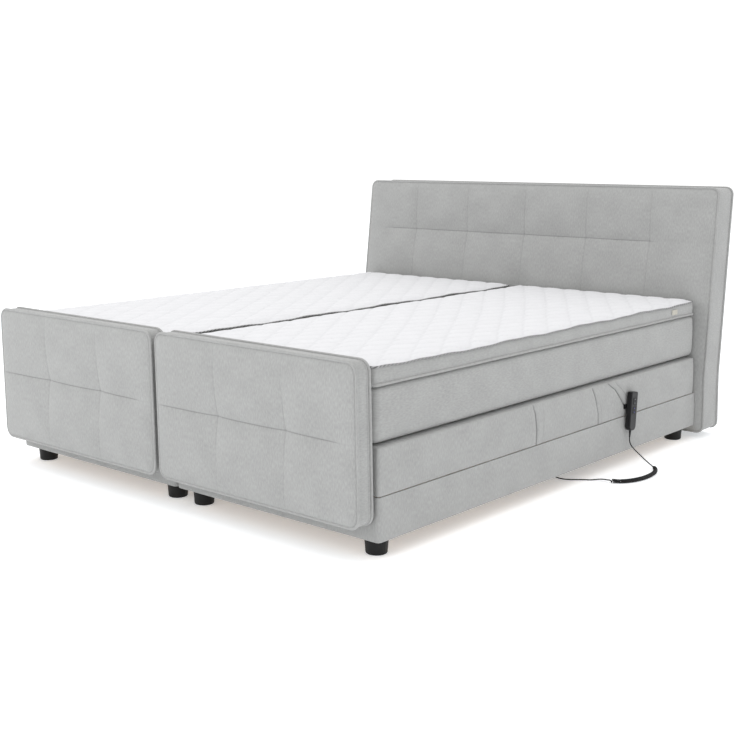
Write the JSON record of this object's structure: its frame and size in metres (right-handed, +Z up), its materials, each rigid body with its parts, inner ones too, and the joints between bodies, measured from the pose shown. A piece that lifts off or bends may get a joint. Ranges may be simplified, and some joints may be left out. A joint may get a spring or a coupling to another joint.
{
  "type": "adjustable bed",
  "caption": "Double adjustable bed: two motorised halves with mattresses and toppers, tufted headboard and footboards, round feet and a wired handset.",
  "frame": {"origin": "bottom centre of the whole bed without its lead: on the floor, midway between the sides and between the footboards and the headboard top", "axes": "+Z up, +Y from the footboards to the headboard, +X to the side that carries the handset"},
  "size_m": [1.9969, 2.3176, 1.027],
  "materials": {
    "upholstery": "light grey woven chenille",
    "mattress_fabric": "grey woven ticking",
    "topper_quilt": "white quilted jersey",
    "timber": "plain pine and plywood",
    "leg_black": "black satin",
    "painted_steel": "black powder coat",
    "bush_bronze": "sintered bronze",
    "drive_plastic": "dark grey moulded",
    "zinc_steel": "zinc plated",
    "handset_black": "black moulded",
    "handset_rubber": "soft dark grey",
    "cord_rubber": "black satin sheath"
  },
  "bodies": {
    "root": {"base_frames": "timber", "base_covers": "upholstery", "legs": "leg_black", "pivot_brackets": "painted_steel", "pivot_bushes": "bush_bronze", "drive_housings": "drive_plastic", "drive_motors": "drive_plastic", "control_boxes": "drive_plastic", "footboard_cores": "timber", "footboard_cushions": "upholstery", "board_fixings": "zinc_steel", "seat_frames": "timber", "seat_covers": "upholstery", "seat_mattresses": "mattress_fabric", "seat_toppers": "topper_quilt", "headboard_core": "timber", "headboard_cushion": "upholstery", "handset_front_shell": "handset_black", "handset_back_shell": "handset_black", "handset_hook": "handset_black", "handset_strain_relief": "cord_rubber", "handset_cord_upper": "cord_rubber", "handset_cord_curl": "cord_rubber", "handset_cord_lower": "cord_rubber"},
    "right_back": {"right_back_frame": "timber", "right_back_cover": "upholstery", "right_back_mattress": "mattress_fabric", "right_back_topper": "topper_quilt", "right_back_lift_shaft": "painted_steel"},
    "right_thigh": {"right_thigh_frame": "timber", "right_thigh_cover": "upholstery", "right_thigh_mattress": "mattress_fabric", "right_thigh_topper": "topper_quilt", "right_thigh_lift_shaft": "painted_steel"},
    "right_foot": {"right_foot_frame": "timber", "right_foot_cover": "upholstery", "right_foot_mattress": "mattress_fabric", "right_foot_topper": "topper_quilt"},
    "right_links": {"right_foot_links": "painted_steel"},
    "right_back_block": {"right_back_drive_block": "drive_plastic"},
    "right_leg_block": {"right_leg_drive_block": "drive_plastic"},
    "left_back": {"left_back_frame": "timber", "left_back_cover": "upholstery", "left_back_mattress": "mattress_fabric", "left_back_topper": "topper_quilt", "left_back_lift_shaft": "painted_steel"},
    "left_thigh": {"left_thigh_frame": "timber", "left_thigh_cover": "upholstery", "left_thigh_mattress": "mattress_fabric", "left_thigh_topper": "topper_quilt", "left_thigh_lift_shaft": "painted_steel"},
    "left_foot": {"left_foot_frame": "timber", "left_foot_cover": "upholstery", "left_foot_mattress": "mattress_fabric", "left_foot_topper": "topper_quilt"},
    "left_links": {"left_foot_links": "painted_steel"},
    "left_back_block": {"left_back_drive_block": "drive_plastic"},
    "left_leg_block": {"left_leg_drive_block": "drive_plastic"},
    "handset_back_button": {"handset_back_rocker": "handset_rubber"},
    "handset_leg_button": {"handset_leg_rocker": "handset_rubber"}
  },
  "joints": [
    {"name": "right_back_lift", "type": "hinge", "parent": "root", "child": "right_back", "pos_m": [0.452, 0.33118, 0.316], "axis": [1, 0, 0], "range_deg": [0, 45]},
    {"name": "right_thigh_lift", "type": "hinge", "parent": "root", "child": "right_thigh", "pos_m": [0.452, 0.11118, 0.316], "axis": [-1, 0, 0], "range_deg": [0, 30]},
    {"name": "right_foot_level", "type": "hinge", "parent": "right_thigh", "child": "right_foot", "pos_m": [0.452, -0.25382, 0.316], "axis": [1, 0, 0], "range_deg": [0, 30]},
    {"name": "right_foot_link", "type": "hinge", "parent": "root", "child": "right_links", "pos_m": [0.452, 0.06118, 0.238], "axis": [-1, 0, 0], "range_deg": [0, 30]},
    {"name": "right_back_drive", "type": "slide", "parent": "root", "child": "right_back_block", "axis": [0, 1, 0], "range_m": [0, 0.09204]},
    {"name": "right_leg_drive", "type": "slide", "parent": "root", "child": "right_leg_block", "axis": [0, -1, 0], "range_m": [0, 0.06232]},
    {"name": "left_back_lift", "type": "hinge", "parent": "root", "child": "left_back", "pos_m": [-0.452, 0.33118, 0.316], "axis": [1, 0, 0], "range_deg": [0, 45]},
    {"name": "left_thigh_lift", "type": "hinge", "parent": "root", "child": "left_thigh", "pos_m": [-0.452, 0.11118, 0.316], "axis": [-1, 0, 0], "range_deg": [0, 30]},
    {"name": "left_foot_level", "type": "hinge", "parent": "left_thigh", "child": "left_foot", "pos_m": [-0.452, -0.25382, 0.316], "axis": [1, 0, 0], "range_deg": [0, 30]},
    {"name": "left_foot_link", "type": "hinge", "parent": "root", "child": "left_links", "pos_m": [-0.452, 0.06118, 0.238], "axis": [-1, 0, 0], "range_deg": [0, 30]},
    {"name": "left_back_drive", "type": "slide", "parent": "root", "child": "left_back_block", "axis": [0, 1, 0], "range_m": [0, 0.09204]},
    {"name": "left_leg_drive", "type": "slide", "parent": "root", "child": "left_leg_block", "axis": [0, -1, 0], "range_m": [0, 0.06232]},
    {"name": "handset_back_press", "type": "hinge", "parent": "root", "child": "handset_back_button", "pos_m": [0.9242, 0.37315, 0.24779], "axis": [0, 0.9945, -0.1045], "range_deg": [-3, 3], "stiffness_Nm_per_rad": 0.4},
    {"name": "handset_leg_press", "type": "hinge", "parent": "root", "child": "handset_leg_button", "pos_m": [0.9242, 0.3696, 0.21398], "axis": [0, 0.9945, -0.1045], "range_deg": [-3, 3], "stiffness_Nm_per_rad": 0.4}
  ],
  "couplings": [
    {"joint": "right_foot_level", "follows": "right_thigh_lift", "ratio": 1},
    {"joint": "right_foot_link", "follows": "right_thigh_lift", "ratio": 1},
    {"joint": "right_back_drive", "follows": "right_back_lift", "m_per_rad": 0.11694},
    {"joint": "right_leg_drive", "follows": "right_thigh_lift", "m_per_rad": 0.11863},
    {"joint": "left_foot_level", "follows": "left_thigh_lift", "ratio": 1},
    {"joint": "left_foot_link", "follows": "left_thigh_lift", "ratio": 1},
    {"joint": "left_back_drive", "follows": "left_back_lift", "m_per_rad": 0.11694},
    {"joint": "left_leg_drive", "follows": "left_thigh_lift", "m_per_rad": 0.11863}
  ]
}
